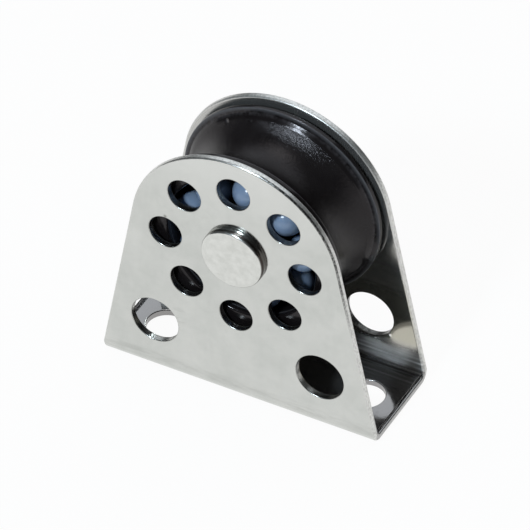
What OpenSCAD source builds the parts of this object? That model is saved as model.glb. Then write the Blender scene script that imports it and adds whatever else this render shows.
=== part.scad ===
// Stand-up block: a folded stainless channel that is bolted down through its base and
// carries a ball-bearing rope sheave between its two cheeks.
//
// Frame: the origin is the middle of the base's underside, +Z is up, +X runs along the
// base and +Y runs along the axle, away from the cheek that the photograph shows in front.

/* [Body] */
// Thickness of the stainless sheet
sheet_t = 1.3; // [1:0.1:1.6]
// Width over the outer faces of the two cheeks
body_w = 19.4; // [18.6:0.1:22]
// Length of the base along the sheave's plane
base_len = 52.4; // [49:0.1:60]
// Height of the axle above the base's underside
axle_h = 31.8; // [30:0.1:36]
// Radius of each cheek's round top, about the axle
cheek_top_r = 19.75; // [19.3:0.05:21]
// Inner radius of the two folds between base and cheeks
fold_r = 0.9; // [0.5:0.1:1.5]

/* [Holes in the body] */
// Number of holes in the ring round the axle
ring_holes = 8; // [6:1:8]
// Radius of the circle that the ring's holes lie on
ring_r = 13.2; // [12.6:0.1:14]
// Diameter of each hole in the ring
ring_hole_d = 6.2; // [4:0.1:7]
// Diameter of the large hole in each lower corner of a cheek
corner_hole_d = 9; // [6:0.1:10]
// Distance from each end of the base to the middle of the corner holes above it
corner_hole_inset = 10.4; // [9:0.1:12]
// Height of the corner holes above the base's underside
corner_hole_h = 11.2; // [10:0.1:12]
// Diameter of the two screw holes in the base
screw_hole_d = 7; // [5:0.1:8]
// Distance from each end of the base to the middle of its screw hole
screw_inset = 6.9; // [5.5:0.1:9]

/* [Axle] */
// Diameter of the rivet's shank
shank_d = 8; // [6:0.1:9]
// Diameter of the rivet's two flat heads
head_d = 11.6; // [10:0.1:13]
// Height of each head above its cheek
head_t = 1.35; // [0.8:0.05:2]
// Width of the bevel round the outer edge of each head
head_bevel = 0.2; // [0.1:0.05:0.4]
// Clearance all round the shank in its holes
shank_gap = 0.05; // [0.02:0.01:0.1]

/* [Sheave] */
// Outer diameter of the sheave
sheave_d = 37.4; // [36:0.1:38.4]
// Gap between each side of the sheave and its cheek
side_gap = 0.7; // [0.5:0.05:1]
// Thickness of each flange at its rim, beside the rope groove
flange_t = 1; // [0.8:0.1:2]
// Depth of the rope groove
groove_depth = 4.7; // [3:0.1:5]
// Depth of the nearly upright lip inside each flange
lip_depth = 0.9; // [0.5:0.05:1.2]
// How far each lip leans into the groove over its depth
lip_taper = 0.2; // [0.1:0.05:0.4]
// Width of the 45 degree ledge between each lip and the round of the groove
ledge_w = 0.55; // [0.3:0.05:0.8]
// Height of the chamfer on the outer edge of each flange
flange_chamfer = 0.3; // [0.1:0.05:0.4]

/* [Ball bearing] */
// Thickness of the sheave's web between the tracks of the two rows
web_t = 3; // [2.9:0.1:5]
// Least gap between two neighbouring balls of a row
ball_gap = 0.7; // [0.5:0.05:0.9]
// Radius of the circle that the ball centres run on
ball_ring_r = 10.6; // [10.4:0.05:10.8]
// Angle of the first ball above the horizontal
ball_start = 6; // [0:1:39]
// Distance from the cheek's inner face to the nearest point of a ball
ball_inset = 0.4; // [0.3:0.05:0.8]
// Clearance between a ball and its two tracks
track_gap = 0.15; // [0.1:0.01:0.2]
// Diameter of the inner race rings
race_d = 17.2; // [16:0.1:17.4]
// Gap between the race rings and the sheave's web
web_gap = 0.7; // [0.4:0.05:1]

/* [Hidden] */
$fn = 96;
EPS = 0.01;
inner_w = body_w - 2 * sheet_t;
fold_out_r = fold_r + sheet_t;
total_h = axle_h + cheek_top_r;
sheave_w = inner_w - 2 * side_gap;
sheave_r = sheave_d / 2;
groove_w = sheave_w - 2 * flange_t;
groove_floor_r = sheave_r - groove_depth;
lip_foot_r = sheave_r - lip_depth;
lip_foot_w = groove_w / 2 - lip_taper;
round_top_r = lip_foot_r - ledge_w;
round_half_w = lip_foot_w - ledge_w;
round_depth = round_top_r - groove_floor_r;
groove_arc_r = (pow(round_half_w, 2) + pow(round_depth, 2)) / (2 * round_depth);
ball_d = inner_w / 2 - ball_inset - track_gap - web_t / 2;
ball_r = ball_d / 2;
track_r = ball_r + track_gap;
row_offset = inner_w / 2 - ball_inset - ball_r;
web_r = race_d / 2 + web_gap;

// Balls that fit round their circle, with at least the gap between neighbours
ball_count = floor(180 / asin((ball_d + ball_gap) / (2 * ball_ring_r)));
corner_hole_x = base_len / 2 - corner_hole_inset;
screw_x = base_len / 2 - screw_inset;

// Angle of the cheek's slanted side from upright, tangent to the round top
corner_x = base_len / 2;
corner_drop = axle_h - fold_out_r;
side_angle = acos(cheek_top_r / norm([corner_x, corner_drop])) - atan2(corner_drop, corner_x);
tangent_x = cheek_top_r * cos(side_angle);
tangent_z = axle_h + cheek_top_r * sin(side_angle);

// Places children on the axle: their +Z points to the near cheek and their +Y points up
module on_axle() {
    translate([0, 0, axle_h])
        rotate([90, 0, 0])
            children();
}

// Flat-bottomed outline with two round lower corners, open upwards
module trough(w, r, h) {
    translate([-w / 2, r])
        square([w, h - r]);
    translate([-w / 2 + r, 0])
        square([w - 2 * r, h]);
    for (side = [-1, 1])
        translate([side * (w / 2 - r), r])
            circle(r);
}

// The folded sheet seen from its end
module channel_section() {
    difference() {
        trough(body_w, fold_out_r, total_h + EPS);
        translate([0, sheet_t])
            trough(inner_w, fold_r, total_h);
    }
}

// A cheek seen square on: a round top, two slanted sides and the base's full length
module cheek_outline() {
    translate([0, axle_h])
        circle(cheek_top_r);
    polygon([
        [-corner_x, 0],
        [corner_x, 0],
        [corner_x, fold_out_r],
        [tangent_x, tangent_z],
        [-tangent_x, tangent_z],
        [-corner_x, fold_out_r]
    ]);
}

// Round cutter through both cheeks, centred at x and z
module cheek_cutter(x, z, d) {
    translate([x, 0, z])
        rotate([90, 0, 0])
            cylinder(d = d, h = body_w + 2, center = true);
}

module body() {
    color([0.78, 0.79, 0.77])
    difference() {
        intersection() {
            rotate([90, 0, 90])
                linear_extrude(base_len + 2, center = true)
                    channel_section();
            rotate([90, 0, 0])
                linear_extrude(body_w + 2, center = true)
                    cheek_outline();
        }
        cheek_cutter(0, axle_h, shank_d + 2 * shank_gap);
        for (i = [0:ring_holes - 1])
            cheek_cutter(
                ring_r * cos(i * 360 / ring_holes),
                axle_h + ring_r * sin(i * 360 / ring_holes),
                ring_hole_d
            );
        for (side = [-1, 1]) {
            cheek_cutter(side * corner_hole_x, corner_hole_h, corner_hole_d);
            translate([side * screw_x, 0, -1])
                cylinder(d = screw_hole_d, h = sheet_t + 2);
        }
    }
}

// Shank and both flat heads, one piece once it is riveted
module axle_rivet() {
    head_r = head_d / 2;
    top = body_w / 2 + head_t;
    color([0.83, 0.84, 0.82])
    on_axle()
        rotate_extrude()
            polygon([
                [0, -top],
                [head_r - head_bevel, -top],
                [head_r, -top + head_bevel],
                [head_r, -body_w / 2],
                [shank_d / 2, -body_w / 2],
                [shank_d / 2, body_w / 2],
                [head_r, body_w / 2],
                [head_r, top - head_bevel],
                [head_r - head_bevel, top],
                [0, top]
            ]);
}

// Inner race ring for one row: from the block's middle to its cheek, with a round track
module race(side) {
    bore_r = shank_d / 2 + shank_gap;
    color([0.13, 0.13, 0.14])
    on_axle()
        rotate_extrude()
            difference() {
                translate([bore_r, side > 0 ? 0 : -inner_w / 2])
                    square([race_d / 2 - bore_r, inner_w / 2]);
                translate([ball_ring_r, side * row_offset])
                    circle(track_r);
            }
}

// The rope groove's section: a round floor, and a ledge and a lip inside each flange
module groove_section() {
    intersection() {
        translate([groove_floor_r + groove_arc_r, 0])
            circle(groove_arc_r);
        translate([groove_floor_r - 1, -round_half_w])
            square([round_depth + 1, 2 * round_half_w]);
    }
    polygon([
        [round_top_r, -round_half_w],
        [lip_foot_r, -lip_foot_w],
        [sheave_r, -groove_w / 2],
        [sheave_r + 1, -groove_w / 2],
        [sheave_r + 1, groove_w / 2],
        [sheave_r, groove_w / 2],
        [lip_foot_r, lip_foot_w],
        [round_top_r, round_half_w]
    ]);
}

// Sheave: rope groove outside, and inside a middle web with a ball track on each side
module sheave() {
    side_open = sheave_w / 2 - row_offset;
    color([0.06, 0.06, 0.065])
    on_axle()
        rotate_extrude()
            difference() {
                translate([web_r, -sheave_w / 2])
                    square([sheave_r - web_r, sheave_w]);
                groove_section();
                for (side = [-1, 1]) {
                    translate([ball_ring_r, side * row_offset])
                        circle(track_r);
                    translate([web_r - 1, side > 0 ? row_offset : -sheave_w / 2 - 1])
                        square([ball_ring_r + track_r - web_r + 1, side_open + 1]);
                    translate([sheave_r, side * sheave_w / 2])
                        rotate(45)
                            square(flange_chamfer * sqrt(2), center = true);
                }
            }
}

// One ball of a row, which lies on the near side of the middle when side is 1
module ball(index, side) {
    a = ball_start + (index - 1) * 360 / ball_count;
    color([0.62, 0.70, 0.82])
    on_axle()
        translate([ball_ring_r * cos(a), ball_ring_r * sin(a), side * row_offset])
            sphere(r = ball_r);
}

body();
axle_rivet();
race(1);  // race_near
race(-1);  // race_far
sheave();
for (i = [1:ball_count]) {
    ball(i, 1);
    ball(i, -1);
}
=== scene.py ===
import bmesh
import bpy
from math import acos, atan2, cos, degrees, hypot, pi, radians, sin
from mathutils import Matrix, Vector
from mathutils.geometry import delaunay_2d_cdt


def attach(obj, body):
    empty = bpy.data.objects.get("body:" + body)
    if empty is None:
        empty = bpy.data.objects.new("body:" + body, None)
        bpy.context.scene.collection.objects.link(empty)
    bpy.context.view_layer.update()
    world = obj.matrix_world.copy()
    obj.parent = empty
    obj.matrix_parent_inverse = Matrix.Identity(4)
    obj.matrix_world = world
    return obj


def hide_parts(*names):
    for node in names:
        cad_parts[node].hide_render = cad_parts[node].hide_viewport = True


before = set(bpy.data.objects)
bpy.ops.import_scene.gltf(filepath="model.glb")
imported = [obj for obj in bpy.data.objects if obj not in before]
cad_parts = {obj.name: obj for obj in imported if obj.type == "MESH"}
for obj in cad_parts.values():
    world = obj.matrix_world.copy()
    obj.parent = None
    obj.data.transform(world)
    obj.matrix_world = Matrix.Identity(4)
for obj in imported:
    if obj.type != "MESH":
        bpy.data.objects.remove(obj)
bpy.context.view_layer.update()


# Body: one strip of polished stainless sheet. The blank is cut flat with all its holes, its
# outer edges are tumbled round, those of its holes less, and it is folded up twice, so that
# base and both cheeks are one piece. Sizes of pieces are in millimetres.

SHEET = 1.3
HALF_WIDTH = 9.7
HALF_BASE = 26.2
AXLE_UP = 31.8
ROUND_TOP = 19.75
FOLD_IN, FOLD_OUT = 0.9, 2.2
FOLD_MID = FOLD_IN + SHEET / 2
FLAT_HALF = HALF_WIDTH - FOLD_OUT
FOLD_LENGTH = FOLD_MID * pi / 2
CHEEK_START = FLAT_HALF + FOLD_LENGTH
LEAN = acos(ROUND_TOP / hypot(HALF_BASE, AXLE_UP - FOLD_OUT)) - atan2(
    AXLE_UP - FOLD_OUT, HALF_BASE)


def along_blank(height):
    """How far from the blank's middle a point of a cheek lies, for its height when folded."""
    return CHEEK_START + height - FOLD_OUT


def folded(x, u, h):
    """Where a point of the flat blank goes to, with its normal and the way along the blank."""
    side, a = (1 if u >= 0 else -1), abs(u)
    if a <= FLAT_HALF:
        y, z, ny, nz = a, SHEET / 2, 0, 1
    elif a < CHEEK_START:
        turn = (a - FLAT_HALF) / FOLD_MID
        y, z = FLAT_HALF + FOLD_MID * sin(turn), FOLD_OUT - FOLD_MID * cos(turn)
        ny, nz = -sin(turn), cos(turn)
    else:
        y, z, ny, nz = FLAT_HALF + FOLD_MID, FOLD_OUT + a - CHEEK_START, -1, 0
    normal = Vector((0, side * ny, nz))
    lengthwise = Vector((0, nz, -side * ny))
    return Vector((x, side * y, z)) / 1000 + normal * h / 1000, normal, lengthwise


TOP_STEPS, SIDE_STEPS, FOLD_STEPS, BASE_STEPS = 96, 24, 12, 8


def blank_outline():
    """The outer cut of the blank, all the way round, with the way out at each point."""
    quarter = []
    for i in range(TOP_STEPS + 1):
        a = pi / 2 - (pi / 2 - LEAN) * i / TOP_STEPS
        u = along_blank(AXLE_UP + ROUND_TOP * sin(a))
        quarter.append((ROUND_TOP * cos(a), u, cos(a), sin(a)))
    tx, tu = quarter[-1][0], quarter[-1][1]
    for i in range(1, SIDE_STEPS):
        k = i / SIDE_STEPS
        x, u = tx + (HALF_BASE - tx) * k, tu + (CHEEK_START - tu) * k
        quarter.append((x, u, cos(LEAN), sin(LEAN)))
    quarter.append((HALF_BASE, CHEEK_START, cos(LEAN / 2), sin(LEAN / 2)))
    for i in range(1, FOLD_STEPS):
        quarter.append((HALF_BASE, CHEEK_START - FOLD_LENGTH * i / FOLD_STEPS, 1, 0))
    for i in range(BASE_STEPS):
        quarter.append((HALF_BASE, FLAT_HALF * (1 - i / BASE_STEPS), 1, 0))
    right = quarter + [(HALF_BASE, 0, 1, 0)] + [(x, -u, nx, -nu) for x, u, nx, nu in quarter[::-1]]
    left = [(-x, u, -nx, nu) for x, u, nx, nu in right[::-1]]
    return right[:-1] + left[:-1]


def hole_cut(x, u, radius, steps):
    """A round hole, with the way out of the sheet at each point: towards the hole's middle."""
    turns = [2 * pi * i / steps for i in range(steps)]
    return [(x + radius * cos(a), u + radius * sin(a), -cos(a), -sin(a)) for a in turns]


# Holes by middle, radius and number of steps: screws, rivet, lower corners, ring
SCREW_X, SCREW_HOLE = 19.3, 3.5
SHANK_HOLE = 4.05
CORNER_X, CORNER_UP, CORNER_HOLE = 15.8, 11.2, 4.5
RING, RING_HOLE, RING_HOLES = 13.2, 3.1, 8
holes = []
for side in (-1, 1):
    holes.append((side * SCREW_X, 0, SCREW_HOLE, 72))
    holes.append((0, side * along_blank(AXLE_UP), SHANK_HOLE, 72))
    for end in (-1, 1):
        holes.append((end * CORNER_X, side * along_blank(CORNER_UP), CORNER_HOLE, 80))
    for i in range(RING_HOLES):
        a = i * 2 * pi / RING_HOLES
        holes.append((RING * cos(a), side * along_blank(AXLE_UP + RING * sin(a)), RING_HOLE, 64))
cuts = [blank_outline()] + [hole_cut(*hole) for hole in holes]

# Flat part of the blank: everything inside the rounded edges, with a loose net of points on
# the flats and close lines across the two folds
EDGE_ROUND, HOLE_ROUND = 0.38, 0.2
points, rims = [], []
for cut in cuts:
    rounding = EDGE_ROUND if cut is cuts[0] else HOLE_ROUND
    rims.append(range(len(points), len(points) + len(cut)))
    points += [Vector((x - nx * rounding, u - nu * rounding)) for x, u, nx, nu in cut]
edges = [(rim[i], rim[(i + 1) % len(rim)]) for rim in rims for i in range(len(rim))]


def on_sheet(x, u, clear, hole_clear):
    """Whether a point of the blank lies on its metal, that far from the outline and holes."""
    height = abs(u) - CHEEK_START + FOLD_OUT
    if height > AXLE_UP and hypot(x, height - AXLE_UP) > ROUND_TOP - clear:
        return False
    if height <= AXLE_UP and height > FOLD_OUT:
        if abs(x) * cos(LEAN) + (height - AXLE_UP) * sin(LEAN) > ROUND_TOP - clear:
            return False
    if abs(x) > HALF_BASE - clear:
        return False
    return all(hypot(x - cx, u - cu) >= radius + hole_clear for cx, cu, radius, _ in holes)


across_folds = [s * (FLAT_HALF + FOLD_LENGTH * i / FOLD_STEPS)
                for i in range(FOLD_STEPS + 1) for s in (-1, 1)]
LINE_START, LINE_STEP, LINE_POINTS = -24.75, 1.65, 31
for u in across_folds:
    points += [Vector((LINE_START + LINE_STEP * i, u)) for i in range(LINE_POINTS)]
NET_X, NET_U, NET_CLEAR = 2.6, 2.75, 0.7
for row in range(-21, 22):
    for column in range(-10, 11):
        x, u = NET_X * column + (NET_X / 2 if row % 2 else 0), NET_U * row
        if FLAT_HALF - 1 < abs(u) < CHEEK_START + 1:
            continue
        if on_sheet(x, u, EDGE_ROUND + NET_CLEAR, HOLE_ROUND + NET_CLEAR):
            points.append(Vector((x, u)))
flat, _, faces, came_from, _, _ = delaunay_2d_cdt(points, edges, [], 0, 1e-5)

# Only the triangles on the metal are kept, not those over the holes or beside the outline
keep = []
for face in faces:
    middle = sum((flat[i] for i in face), Vector((0, 0))) / 3
    if on_sheet(middle.x, middle.y, EDGE_ROUND * 0.98, HOLE_ROUND * 0.96):
        keep.append(face)

body_mesh = bpy.data.meshes.new("body_sheet")
made = bmesh.new()
normals, tumbled, punched = {}, {}, {}


def add_point(x, u, h, out=(0, 0), tilt=0.0, in_hole=False):
    """A vertex at a height over the sheet's middle, its normal tilted towards the way out."""
    place, normal, lengthwise = folded(x, u, h)
    vertex = made.verts.new(place)
    tumbled[vertex] = 0.0 if in_hole else sin(tilt)
    punched[vertex] = sin(tilt) if in_hole else 0.0
    way_out = Vector((1, 0, 0)) * out[0] + lengthwise * out[1]
    up = normal if h > 0 else -normal
    normals[vertex] = (up * cos(tilt) + way_out * sin(tilt)).normalized()
    return vertex


for h in (-SHEET / 2, SHEET / 2):
    found = [add_point(p.x, p.y, h) for p in flat]
    for face in keep:
        corners = [found[i] for i in face]
        made.faces.new(corners if h > 0 else corners[::-1])
    if h < 0:
        outer_face = found
    else:
        inner_face = found
where = {point: i for i, given in enumerate(came_from) for point in given}
ROUND_STEPS = 5
for cut, rim in zip(cuts, rims):
    rounding = EDGE_ROUND if cut is cuts[0] else HOLE_ROUND
    rings = []
    start = [where[i] for i in rim]
    rings.append([inner_face[i] for i in start])
    for side in (1, -1):
        turns = range(1, ROUND_STEPS + 1) if side > 0 else range(ROUND_STEPS, 0, -1)
        for step in turns:
            tilt = pi / 2 * step / ROUND_STEPS
            inset = rounding * (1 - sin(tilt))
            h = side * (SHEET / 2 - rounding + rounding * cos(tilt))
            rings.append([add_point(x - nx * inset, u - nu * inset, h, (nx, nu), tilt,
                                    cut is not cuts[0]) for x, u, nx, nu in cut])
    rings.append([outer_face[i] for i in start])
    for upper, lower in zip(rings, rings[1:]):
        for i in range(len(cut)):
            j = (i + 1) % len(cut)
            made.faces.new((upper[i], upper[j], lower[j], lower[i]))
loose = [v for v in made.verts if not v.link_faces]
bmesh.ops.delete(made, geom=loose, context="VERTS")
bmesh.ops.recalc_face_normals(made, faces=made.faces)
made.verts.index_update()
ordered = [normals[v] for v in made.verts]
shares = {"tumbled_edge": [tumbled[v] for v in made.verts],
          "punched_wall": [punched[v] for v in made.verts]}
for face in made.faces:
    face.smooth = True
made.to_mesh(body_mesh)
made.free()
body_mesh.normals_split_custom_set_from_vertices(ordered)
for name, values in shares.items():
    body_mesh.attributes.new(name, "FLOAT", "POINT").data.foreach_set("value", values)
folded_body = bpy.data.objects.new("folded_body", body_mesh)
bpy.context.scene.collection.objects.link(folded_body)


class Wire:
    """An output of a node, whose sums and products add their own Math nodes."""

    def __init__(self, finish, output):
        self.finish, self.output = finish, output

    def _math(self, operation, *terms):
        return self.finish.node("ShaderNodeMath", {"operation": operation},
                                dict(enumerate(terms)))

    def __add__(self, other):
        return self._math("ADD", self, other)

    def __radd__(self, other):
        return self._math("ADD", other, self)

    def __sub__(self, other):
        return self._math("SUBTRACT", self, other)

    def __rsub__(self, other):
        return self._math("SUBTRACT", other, self)

    def __mul__(self, other):
        return self._math("MULTIPLY", self, other)

    def __rmul__(self, other):
        return self._math("MULTIPLY", other, self)

    def __abs__(self):
        return self._math("ABSOLUTE", self)


class Finish:
    """A material that is put together on one Principled shader."""

    def __init__(self, name):
        self.material = bpy.data.materials.new(name)
        self.material.use_nodes = True
        self.tree = self.material.node_tree
        self.tree.nodes.clear()
        self.output = self.tree.nodes.new("ShaderNodeOutputMaterial")

    def node(self, kind, settings=None, sockets=None, output=0):
        """Adds a node: its settings first, then the values or links of its sockets."""
        made = self.tree.nodes.new(kind)
        for name, value in (settings or {}).items():
            if name == "stops":
                ramp = made.color_ramp
                while len(ramp.elements) < len(value):
                    ramp.elements.new(1.0)
                for element, (place, colour) in zip(ramp.elements, value):
                    element.position, element.color = place, colour
            else:
                setattr(made, name, value)
        for name, value in (sockets or {}).items():
            if isinstance(value, Wire):
                self.tree.links.new(value.output, made.inputs[name])
            else:
                made.inputs[name].default_value = value
        return Wire(self, made.outputs[output])

    def place(self):
        """Where on the piece: its own coordinates, in metres."""
        return self.node("ShaderNodeTexCoord", output="Object")

    def noise(self, scale, detail=3.0, roughness=0.5, at=None):
        return self.node("ShaderNodeTexNoise", {"noise_dimensions": "3D"},
                         {"Vector": at or self.place(), "Scale": scale, "Detail": detail,
                          "Roughness": roughness}, output="Fac")

    def stretched(self, scale, turn=(0, 0, 0)):
        """Coordinates squeezed along some axes, which draws a pattern out along the others."""
        return self.node("ShaderNodeMapping", {"vector_type": "POINT"},
                         {"Vector": self.place(), "Scale": scale, "Rotation": turn})

    def ramp(self, factor, *stops):
        return self.node("ShaderNodeValToRGB", {"stops": stops}, {0: factor})

    def grey(self, factor, low, high):
        """Turns a factor's low to high into 0 to 1."""
        return self.node("ShaderNodeMapRange", {"clamp": True},
                         {"Value": factor, "From Min": low, "From Max": high})

    def axis(self, name, at=None):
        """One coordinate of the place, in metres."""
        return self.node("ShaderNodeSeparateXYZ", None, {0: at or self.place()}, output=name)

    def spot(self, place, reach):
        """1 at a place given in mm, falling to 0 at its reach, in mm."""
        away = self.node("ShaderNodeVectorMath", {"operation": "DISTANCE"},
                         {0: self.place(), 1: [c / 1000 for c in place]}, output="Value")
        return 1 - self.grey(away, 0, reach / 1000)

    def band(self, factor, middle, reach, flat=0):
        """1 within the flat part round a factor's middle, falling to 0 at its reach."""
        return 1 - self.grey(abs(factor - middle), flat, reach)

    def bump(self, height, strength, distance):
        return self.node("ShaderNodeBump", None,
                         {"Height": height, "Strength": strength, "Distance": distance})

    def blend(self, factor, first, second):
        return self.node("ShaderNodeMix", {"data_type": "RGBA"},
                         {0: factor, 6: first, 7: second}, output=2)

    def done(self, sockets):
        shader = self.node("ShaderNodeBsdfPrincipled", None, sockets)
        self.tree.links.new(shader.output, self.output.inputs["Surface"])
        return self.material


steel = Finish("polished_stainless_sheet")
cloudy = steel.noise(150, 4, 0.65)
fine = steel.noise(2200, 2, 0.6)
scuffs = steel.noise(900, 4, 0.7, steel.stretched((1, 1, 0.16), (0, radians(24), 0)))
edge = steel.node("ShaderNodeAttribute", {"attribute_name": "tumbled_edge"}, output="Fac")
wall = steel.node("ShaderNodeAttribute", {"attribute_name": "punched_wall"}, output="Fac")
mottle = steel.noise(2900, 3, 0.65)
patches = steel.grey(mottle, 0.42, 0.60)
drawn = steel.noise(2400, 3, 0.65, steel.stretched((0.012, 1, 1)))
smeared = steel.noise(1300, 4, 0.7, steel.stretched((0.12, 1, 1)))

# Parts of the sheet, by place in metres: its inner faces, the base plate, the die's band
# above the folds and the press's line outside. Then small marks, by place in mm, the far
# cheek, a painted shade line along the near cheek's edge on the right, and painted highlight
# lines above the folds
height = steel.axis("Z")
inside = 1 - steel.grey(abs(steel.axis("Y")), 0.0086, 0.0090)
plate = inside * (1 - steel.grey(height, 0.0015, 0.0020))
die_band = inside * (1 - plate) * (1 - steel.grey(height, 0.0050, 0.0078))
press_line = ((1 - inside) * steel.grey(height, 0.0016, 0.0024)
              * (1 - steel.grey(height, 0.0030, 0.0042)))
scratched = steel.spot((-11.0, -9.7, 14.1), 1.9) * steel.grey(smeared, 0.48, 0.62)
nick = steel.spot((-13.1, -9.7, 35.3), 0.45)
# A burr on the far cheek, raised by the bump, with a painted glint: its spot is painted near-white
burr_and_glint = steel.spot((19.5, 8.4, 8.1), 0.6)
far_side = steel.grey(steel.axis("Y"), 0.0078, 0.0082)
# Painted shade: a near-black line along the face side of the near cheek's rounded edge, high up
# and right of the middle
painted_edge_shade_line = ((1 - steel.grey(steel.axis("Y"), -0.00942, -0.00925))
               * steel.grey(edge, 0.10, 0.40) * steel.grey(steel.axis("X"), 0.003, 0.006)
               * steel.grey(height, 0.022, 0.033))
# Painted highlights: light lines across the inner faces just above the folds
painted_fold_highlights = inside * (
    steel.band(height, 0.0047, 0.0004) * 0.7 + steel.band(height, 0.0038, 0.00035)
    + steel.band(height, 0.0027, 0.0005) * 0.8) * steel.grey(smeared, 0.36, 0.58)

steel_colour = steel.ramp(cloudy, (0.3, (0.545, 0.56, 0.535, 1)), (0.7, (0.63, 0.64, 0.615, 1)))
# Painted sheen: the outer faces painted lighter towards the top of the cheeks
steel_colour = steel.blend((1 - inside) * steel.grey(height, 0.038, 0.051) * 0.6, steel_colour,
                           (0.70, 0.71, 0.69, 1))
steel_colour = steel.blend(inside * 0.9, steel_colour, (0.52, 0.51, 0.49, 1))
steel_colour = steel.blend(
    inside * steel.grey(height, 0.006, 0.008) * (1 - steel.grey(height, 0.016, 0.024)),
    steel_colour, (0.50, 0.485, 0.41, 1))
# Painted shade: the base plate between the cheeks, under the sheave, painted darker
steel_colour = steel.blend(plate * 0.8, steel_colour, (0.46, 0.45, 0.455, 1))
# Painted highlight: the tumbled edges painted lighter than the faces
steel_colour = steel.blend(edge * 0.7, steel_colour, (0.80, 0.805, 0.78, 1))
# Dark speckles on the tumbled edges, and painted shade in the punched hole walls, deeper in the
# ring holes high up and broken by patches
steel_colour = steel.blend(edge * steel.grey(mottle, 0.42, 0.62) * 0.45
                           + wall * (1 - plate) * (0.38 + steel.grey(height, 0.014, 0.017) * 0.30
                                                   + patches * 0.30),
                           steel_colour, (0.17, 0.165, 0.155, 1))
# More painted shade over the base plate, and over the die's band low in the channel; the drawn
# streaks in the band are the die's own marks
steel_colour = steel.blend(plate * 0.40 + die_band * (1 - steel.grey(height, 0.0026, 0.0038) * 0.6)
                           * (0.15 + steel.grey(drawn, 0.38, 0.62) * 0.65),
                           steel_colour, (0.12, 0.115, 0.11, 1))
steel_colour = steel.blend(press_line * steel.grey(smeared, 0.40, 0.65) * 0.22 + scratched * 0.5
                           + nick * 0.9, steel_colour, (0.16, 0.16, 0.14, 1))
# Painted highlight lines above the folds
steel_colour = steel.blend(painted_fold_highlights, steel_colour, (0.88, 0.88, 0.88, 1))
# Painted shade line on the near cheek's edge, broken by patches
steel_colour = steel.blend(painted_edge_shade_line * (0.55 + patches * 0.45), steel_colour,
                           (0.04, 0.04, 0.038, 1))
# Painted shade: the hole walls of the far cheek, inside the channel, painted near-black
steel_colour = steel.blend(wall * far_side * (1 - plate) * (0.72 + patches * 0.28), steel_colour,
                           (0.05, 0.048, 0.046, 1))
steel_colour = steel.blend(burr_and_glint, steel_colour, (0.95, 0.95, 0.93, 1))
steel_rough = (0.11 + steel.grey(cloudy, 0.3, 0.7) * 0.05 + steel.grey(scuffs, 0.52, 0.75) * 0.08
               + edge * 0.20 + wall * 0.16 + die_band * 0.26 - (inside - die_band) * 0.05
               + inside * steel.grey(height, 0.028, 0.042) * 0.15)
folded_body.data.materials.append(steel.done({
    "Base Color": steel_colour,
    "Metallic": 1 - inside * 0.12 - painted_fold_highlights * 0.8,
    "Roughness": steel_rough,
    "Normal": steel.bump(fine * 0.3 + scuffs * 0.3 + (edge + wall) * mottle * 2.2
                         + die_band * drawn * 3.0 + nick * 3.0 + burr_and_glint * 4.0
                         + scratched * smeared * 2.0, 0.25, 0.00003),
}))
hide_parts("body")
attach(folded_body, "frame")


# Race rings: two turned acetal rings that sit on the axle between the cheeks. Each has a
# round track for its row of balls, and the rivet clamps both.

AXLE = Vector((0, 0, AXLE_UP / 1000))
ROW_OFFSET, BALL_CIRCLE, TRACK = 4.825, 10.6, 3.325
RACE_EDGE, RACE_FACE = 8.6, 8.4


CORNER_STEPS = 6


def rounded_profile(corners):
    """A closed profile in mm, whose corners are (radius, along, rounding), rounded off."""
    profile = []
    count = len(corners)
    for i, (r, y, rounding) in enumerate(corners):
        here = Vector((r, y))
        if rounding <= 0:
            profile.append(here)
            continue
        before = (Vector(corners[i - 1][:2]) - here).normalized()
        after = (Vector(corners[(i + 1) % count][:2]) - here).normalized()
        half = acos(max(-1, min(1, before.dot(after)))) / 2
        reach = rounding / (sin(half) / cos(half))
        centre = here + (before + after).normalized() * (rounding / sin(half))
        first, last = here + before * reach - centre, here + after * reach - centre
        sweep = first.angle_signed(last)
        for step in range(CORNER_STEPS + 1):
            turn = Matrix.Rotation(-sweep * step / CORNER_STEPS, 2)
            profile.append(centre + turn @ first)
    return profile


def arc_corners(r, y, radius, start, end, steps):
    """Points of an arc of a profile, from one angle to another, in degrees."""
    turns = [radians(start + (end - start) * i / steps) for i in range(steps + 1)]
    return [(r + radius * cos(a), y + radius * sin(a), 0) for a in turns]


def turned(name, profile, segments=192, crease=32):
    """Turns a closed profile in mm about the axle, as on a lathe."""
    made = bmesh.new()
    rings = []
    for r, y in profile:
        ring = [AXLE + Vector((r * cos(a), y, r * sin(a))) / 1000
                for a in (2 * pi * i / segments for i in range(segments))]
        rings.append([made.verts.new(p) for p in ring] if r > 1e-6
                     else [made.verts.new(AXLE + Vector((0, y, 0)) / 1000)])
    for a, b in zip(rings, rings[1:] + rings[:1]):
        for i in range(segments):
            j = (i + 1) % segments
            if len(a) == 1 and len(b) == 1:
                continue
            if len(a) == 1:
                made.faces.new((a[0], b[i], b[j]))
            elif len(b) == 1:
                made.faces.new((a[i], b[0], a[j]))
            else:
                made.faces.new((a[i], b[i], b[j], a[j]))
    bmesh.ops.remove_doubles(made, verts=made.verts, dist=1e-8)
    bmesh.ops.recalc_face_normals(made, faces=made.faces)
    for face in made.faces:
        face.smooth = True
    mesh = bpy.data.meshes.new(name)
    made.to_mesh(mesh)
    made.free()
    mesh.set_sharp_from_angle(angle=radians(crease))
    piece = bpy.data.objects.new(name, mesh)
    bpy.context.scene.collection.objects.link(piece)
    return piece


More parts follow.
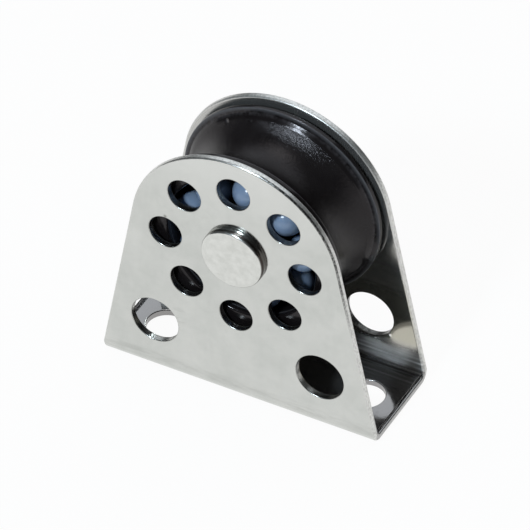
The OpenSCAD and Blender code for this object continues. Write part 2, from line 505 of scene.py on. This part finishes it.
race_finish = Finish("black_acetal_race")
race_grain = race_finish.noise(5200, 3, 0.6)
race_lines = race_finish.noise(2600, 2, 0.5, race_finish.stretched((0.02, 1, 0.02)))
race_material = race_finish.done({
    "Base Color": race_finish.ramp(race_finish.noise(420), (0.3, (0.046, 0.036, 0.031, 1)),
                                   (0.7, (0.062, 0.049, 0.043, 1))),
    "Specular Tint": (1.0, 0.84, 0.74, 1),
    "Roughness": 0.30 + race_grain * 0.16,
    "Normal": race_finish.bump(race_grain * 0.6 + race_lines * 0.4, 0.25, 0.00004),
})
track_reach = (TRACK ** 2 - (BALL_CIRCLE - RACE_EDGE) ** 2) ** 0.5
lip = degrees(atan2(track_reach, RACE_EDGE - BALL_CIRCLE))
for side, name in ((-1, "near"), (1, "far")):
    corners = [(SHANK_HOLE, 0, 0.15), (SHANK_HOLE, side * RACE_FACE, 0.25),
               (RACE_EDGE, side * RACE_FACE, 0.3),
               *arc_corners(BALL_CIRCLE, side * ROW_OFFSET, TRACK, side * lip,
                            side * (360 - lip), 24),
               (RACE_EDGE, 0, 0.1)]
    race_ring = turned("race_ring_" + name, rounded_profile(corners), 128)
    race_ring.data.materials.append(race_material)
    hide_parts("race_" + name)
    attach(race_ring, "frame")


# Ball rows: nine moulded acetal balls in each, pale blue and slightly translucent, roll
# between the race ring and the sheave. They are dropped in loose and kept in by the cheeks.

BALLS, BALL, FIRST_BALL = 9, 6.35, 6
ball_tree = bpy.data.node_groups.new("row_of_balls", "GeometryNodeTree")
sockets = ball_tree.interface
sockets.new_socket("Geometry", in_out="INPUT", socket_type="NodeSocketGeometry")
for label, kind, value in (("Ball Diameter", "NodeSocketFloat", BALL / 1000),
                           ("Circle Radius", "NodeSocketFloat", BALL_CIRCLE / 1000),
                           ("Row Offset", "NodeSocketFloat", ROW_OFFSET / 1000),
                           ("Axle Height", "NodeSocketFloat", AXLE_UP / 1000),
                           ("First Angle", "NodeSocketFloat", radians(FIRST_BALL)),
                           ("Balls", "NodeSocketInt", BALLS),
                           ("Finish", "NodeSocketMaterial", None)):
    socket = sockets.new_socket(label, in_out="INPUT", socket_type=kind)
    if value is not None:
        socket.default_value = value
sockets.new_socket("Geometry", in_out="OUTPUT", socket_type="NodeSocketGeometry")


def geometry_node(tree, kind, settings, links):
    """Adds a node to a tree, with its settings and the values or links of its sockets."""
    made = tree.nodes.new(kind)
    for name, value in settings.items():
        setattr(made, name, value)
    for name, value in links.items():
        if isinstance(value, bpy.types.NodeSocket):
            tree.links.new(value, made.inputs[name])
        else:
            made.inputs[name].default_value = value
    return made.outputs


given = ball_tree.nodes.new("NodeGroupInput").outputs
ring = geometry_node(ball_tree, "GeometryNodeMeshCircle", {"fill_type": "NONE"},
                     {"Vertices": given["Balls"], "Radius": given["Circle Radius"]})
turn = geometry_node(ball_tree, "ShaderNodeCombineXYZ", {}, {"X": pi / 2})
lift = geometry_node(ball_tree, "ShaderNodeCombineXYZ", {},
                     {"Y": given["Row Offset"], "Z": given["Axle Height"]})
tipped = geometry_node(ball_tree, "ShaderNodeCombineXYZ", {}, {"Z": given["First Angle"]})
started = geometry_node(ball_tree, "GeometryNodeTransform", {},
                        {"Geometry": ring["Mesh"], "Rotation": tipped[0]})
stood = geometry_node(ball_tree, "GeometryNodeTransform", {},
                      {"Geometry": started[0], "Rotation": turn[0], "Translation": lift[0]})
radius = geometry_node(ball_tree, "ShaderNodeMath", {"operation": "MULTIPLY"},
                       {0: given["Ball Diameter"], 1: 0.5})
ball = geometry_node(ball_tree, "GeometryNodeMeshUVSphere", {},
                     {"Segments": 56, "Rings": 28, "Radius": radius[0]})
smooth = geometry_node(ball_tree, "GeometryNodeSetShadeSmooth", {}, {0: ball["Mesh"]})
placed = geometry_node(ball_tree, "GeometryNodeInstanceOnPoints", {},
                       {"Points": stood[0], "Instance": smooth[0]})
real = geometry_node(ball_tree, "GeometryNodeRealizeInstances", {}, {0: placed[0]})
coated = geometry_node(ball_tree, "GeometryNodeSetMaterial", {},
                       {0: real[0], "Material": given["Finish"]})
ball_tree.links.new(coated[0], ball_tree.nodes.new("NodeGroupOutput").inputs[0])

ball_finish = Finish("pale_blue_acetal_balls")
ball_haze = ball_finish.noise(700, 3, 0.5)
ball_scuff = ball_finish.noise(6000, 3, 0.6)
ball_material = ball_finish.done({
    "Base Color": ball_finish.ramp(ball_haze, (0.3, (0.215, 0.29, 0.42, 1)),
                                   (0.7, (0.28, 0.36, 0.49, 1))),
    "Roughness": 0.14 + ball_scuff * 0.10,
    "Subsurface Weight": 0.25,
    "Subsurface Radius": (0.0012, 0.0016, 0.0022),
    "Subsurface Scale": 1.0,
    "Normal": ball_finish.bump(ball_scuff, 0.08, 0.00002),
})
for side, name in ((-1, "near"), (1, "far")):
    carrier = bpy.data.objects.new("carrier", bpy.data.meshes.new("carrier"))
    bpy.context.scene.collection.objects.link(carrier)
    row = carrier.modifiers.new("row", "NODES")
    row.node_group = ball_tree
    named = {item.name: item.identifier for item in ball_tree.interface.items_tree
             if item.item_type == "SOCKET" and item.in_out == "INPUT"}
    row[named["Row Offset"]] = side * ROW_OFFSET / 1000
    row[named["Finish"]] = ball_material
    seen = carrier.evaluated_get(bpy.context.evaluated_depsgraph_get())
    row_mesh = bpy.data.meshes.new_from_object(seen)
    carrier.modifiers.clear()
    ball_row = bpy.data.objects.new("ball_row_" + name, row_mesh)
    bpy.context.scene.collection.objects.link(ball_row)
    bpy.data.objects.remove(carrier)
    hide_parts(*[f"ball_{name}_{i}" for i in range(1, BALLS + 1)])
    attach(ball_row, "balls_" + name)


# Sheave: black acetal, moulded and turned. It has a deep round rope groove with a satin,
# slightly grainy skin, two thin flanges, and inside them a middle web with a ball track on
# each side, by which it runs on both rows of balls.

GROOVE_CENTRE, GROOVE_RADIUS, RIM, RIM_EDGE, SHEAVE_SIDE = 21.0715, 7.0715, 18.7, 6.7, 7.7
LIP_FOOT, LIP_FOOT_EDGE, GROOVE_TOP, GROOVE_EDGE = 17.8, 6.5, 17.25, 5.95
WEB_BORE, SIDE_ROUND = 9.3, 0.7
inner_wall = BALL_CIRCLE + TRACK
bore_depth = (TRACK ** 2 - (BALL_CIRCLE - WEB_BORE) ** 2) ** 0.5
bore_angle = degrees(atan2(-bore_depth, WEB_BORE - BALL_CIRCLE))
edge_angle = degrees(atan2(GROOVE_EDGE, GROOVE_TOP - GROOVE_CENTRE))
groove = arc_corners(GROOVE_CENTRE, 0, GROOVE_RADIUS, edge_angle, 360 - edge_angle, 64)[2:-2]
far_lip = [(RIM, SHEAVE_SIDE, 0.3), (RIM, RIM_EDGE, 0.2), (LIP_FOOT, LIP_FOOT_EDGE, 0.15),
           (GROOVE_TOP, GROOVE_EDGE, 1.1)]
near_lip = [(r, -y, rounding) for r, y, rounding in far_lip[::-1]]
far_track = arc_corners(BALL_CIRCLE, ROW_OFFSET, TRACK, 0, bore_angle, 20)
near_track = [(r, -y, 0) for r, y, _ in far_track]
corners = (far_lip + groove + near_lip + [(inner_wall, -SHEAVE_SIDE, SIDE_ROUND)] + near_track
           + far_track[::-1] + [(inner_wall, SHEAVE_SIDE, SIDE_ROUND)])
sheave = turned("rope_sheave", rounded_profile(corners), 224)

acetal = Finish("black_acetal_sheave")
grain = acetal.noise(4700, 2.0, 0.6)
coarse = acetal.noise(1500, 2, 0.5)
turning = acetal.noise(3400, 2, 0.5, acetal.stretched((0.02, 1, 0.02)))
sheave_colour = acetal.ramp(acetal.noise(300), (0.3, (0.0080, 0.0064, 0.0066, 1)),
                            (0.7, (0.0125, 0.0104, 0.0106, 1)))
from_middle = abs(acetal.axis("Y"))
worn_lip = (acetal.grey(from_middle, 0.0061, 0.0064)
            * (1 - acetal.grey(from_middle, 0.0069, 0.0071)))
polished_lip = acetal.grey(from_middle, 0.00575, 0.0059)
dent = acetal.spot((-9.64, 5.79, 45.82), 0.5)
# Painted highlight: a light line round the edge of each flange's rim
painted_rim_highlight = acetal.band(from_middle, 0.00672, 0.00016)
sheave_colour = acetal.blend(painted_rim_highlight * 0.6, sheave_colour, (0.20, 0.20, 0.21, 1))
sheave_colour = acetal.blend(worn_lip * acetal.grey(coarse, 0.35, 0.65) * 0.5 + dent * 0.8,
                             sheave_colour, (0.060, 0.056, 0.058, 1))
sheave.data.materials.append(acetal.done({
    "Base Color": sheave_colour,
    "Roughness": 0.12 + acetal.grey(grain, 0.3, 0.7) * 0.08 - polished_lip * 0.03,
    "Specular IOR Level": 0.28,
    "Specular Tint": (1.0, 0.94, 0.96, 1),
    "Normal": acetal.bump(grain * (1 - polished_lip * 0.93) * 0.75 + coarse * 0.12 + turning * 0.1
                          - dent * 2.0, 1.0, 0.000085),
}))
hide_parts("sheave")
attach(sheave, "sheave")


# Axle rivet: solid stainless, which holds it all. Its shank goes through cheeks and race
# rings, and its two flat heads are pressed on, so their faces keep faint marks of the press.

SHANK, HEAD_HEIGHT = 4, 1.35
top = HALF_WIDTH + HEAD_HEIGHT
half_rivet = [(SHANK, HALF_WIDTH, 0), (5.76, HALF_WIDTH, 0), (5.8, HALF_WIDTH + 0.36, 0.3),
              (5.75, top - 0.72, 0.08), (5.62, top - 0.62, 0.03), (5.77, top - 0.50, 0.08),
              (5.72, top, 0.48), (0, top, 0)]
rivet_profile = rounded_profile([(r, -y, rounding) for r, y, rounding in half_rivet[::-1]]
                                + half_rivet)
rivet = turned("pressed_rivet", rivet_profile, 160)
pressed = Finish("pressed_rivet_stainless")
marks = pressed.noise(620, 3, 0.6)
pits = pressed.noise(2400, 2, 0.5)
along = abs(pressed.axis("Y"))
flank = 1 - pressed.grey(along, 0.01075, 0.01092)
# Painted shade, deeper on the right part of each head's side, where it meets the cheek
flank_shade_right = flank * pressed.grey(pressed.axis("X"), 0.0015, 0.0038)
joint = pressed.band(along, 0.01043, 0.00020, 0.00007)
rivet_colour = pressed.ramp(marks, (0.35, (0.62, 0.63, 0.60, 1)), (0.65, (0.72, 0.73, 0.70, 1)))
# Painted shade: each head's side painted darker than its face
rivet_colour = pressed.blend(flank * 0.65, rivet_colour, (0.24, 0.235, 0.225, 1))
rivet.data.materials.append(pressed.done({
    "Base Color": pressed.blend(flank_shade_right * 0.8 + joint, rivet_colour, (0.050, 0.040, 0.035, 1)),
    "Metallic": 1.0,
    "Roughness": 0.16 + pressed.grey(marks, 0.35, 0.7) * 0.10,
    "Normal": pressed.bump(marks * 0.7 + pits * 0.3, 0.16, 0.00005),
}))
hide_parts("axle_rivet")
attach(rivet, "frame")


# Table, lamps and camera, in metres, which are not part of the block: a plain white table
# that it stands on, a small soft lamp in front, a weak one above, a wide window behind, and
# the camera at the photograph's angle.

TABLE_GAP = 0.00003
floor_mesh = bpy.data.meshes.new("table_top")
made = bmesh.new()
bmesh.ops.create_grid(made, x_segments=1, y_segments=1, size=4.0)
bmesh.ops.translate(made, verts=made.verts, vec=(0, 0, -TABLE_GAP))
made.to_mesh(floor_mesh)
made.free()
table_top = bpy.data.objects.new("table_top", floor_mesh)
bpy.context.scene.collection.objects.link(table_top)

# The table glows white where it is seen, straight, mirrored or through, and lies dull for
# all other light
white = Finish("white_table")
rays = white.node("ShaderNodeLightPath", output="Is Camera Ray")
mirrored = white.node("ShaderNodeLightPath", output="Is Glossy Ray")
through = white.node("ShaderNodeLightPath", output="Is Transmission Ray")
plain = white.node("ShaderNodeBsdfDiffuse", None, {"Color": (0.80, 0.80, 0.79, 1)})
glow = white.node("ShaderNodeEmission", None, {"Color": (1, 1, 1, 1), "Strength": 1.0})
shadowed = white.node("ShaderNodeBsdfDiffuse", None, {"Color": (0.9, 0.9, 0.9, 1)})
shown = white.node("ShaderNodeMixShader", None, {0: 0.05, 1: glow, 2: shadowed})
mixed = white.node("ShaderNodeMixShader", None, {0: rays + mirrored + through, 1: plain, 2: shown})
white.tree.links.new(mixed.output, white.output.inputs["Surface"])
table_top.data.materials.append(white.material)

world = bpy.data.worlds.new("studio")
bpy.context.scene.world = world
world.use_nodes = True
world.node_tree.nodes["Background"].inputs["Color"].default_value = (0.92, 0.96, 1.0, 1)
world.node_tree.nodes["Background"].inputs["Strength"].default_value = 0.10


def soft_lamp(name, towards, distance, size, power, colour=(1, 1, 1)):
    lamp = bpy.data.lights.new(name, "AREA")
    lamp.shape, lamp.size, lamp.energy, lamp.color = "DISK", size, power, colour
    holder = bpy.data.objects.new(name, lamp)
    way = Vector(towards).normalized()
    holder.location = AXLE + way * distance
    holder.rotation_mode = "QUATERNION"
    holder.rotation_quaternion = way.to_track_quat("Z", "Y")
    bpy.context.scene.collection.objects.link(holder)


soft_lamp("front_lamp", (-0.10, -0.78, 0.63), 1.3, 0.23, 10.5, (0.76, 0.89, 1.0))
soft_lamp("top_lamp", (-0.10, 0.05, 1.0), 1.4, 0.5, 2.2)
soft_lamp("window", (-0.16, 0.66, 0.72), 1.5, 2.1, 11.0, (0.90, 0.95, 1.0))

azimuth, elevation, roll = radians(29.61), radians(40.83), radians(-1.37)
back = Vector((sin(azimuth) * cos(elevation), -cos(azimuth) * cos(elevation), sin(elevation)))
right = Vector((cos(azimuth), sin(azimuth), 0))
up = back.cross(right)
level_right = right * cos(roll) + up * sin(roll)
level_up = up * cos(roll) - right * sin(roll)
eye = bpy.data.cameras.new("camera")
eye.lens, eye.sensor_width = 394.7, 36.0
eye.shift_x, eye.shift_y = 0.0577, -0.0172
eye.clip_start, eye.clip_end = 0.05, 20
camera = bpy.data.objects.new("camera", eye)
turned_to = Matrix((level_right, level_up, back)).transposed().to_4x4()
near_middle = Vector((0, -HALF_WIDTH / 1000, AXLE_UP / 1000))
camera_away = 0.965
camera.matrix_world = Matrix.Translation(near_middle + back * camera_away) @ turned_to
bpy.context.scene.collection.objects.link(camera)
bpy.context.scene.camera = camera
bpy.context.scene.view_settings.view_transform = "Standard"
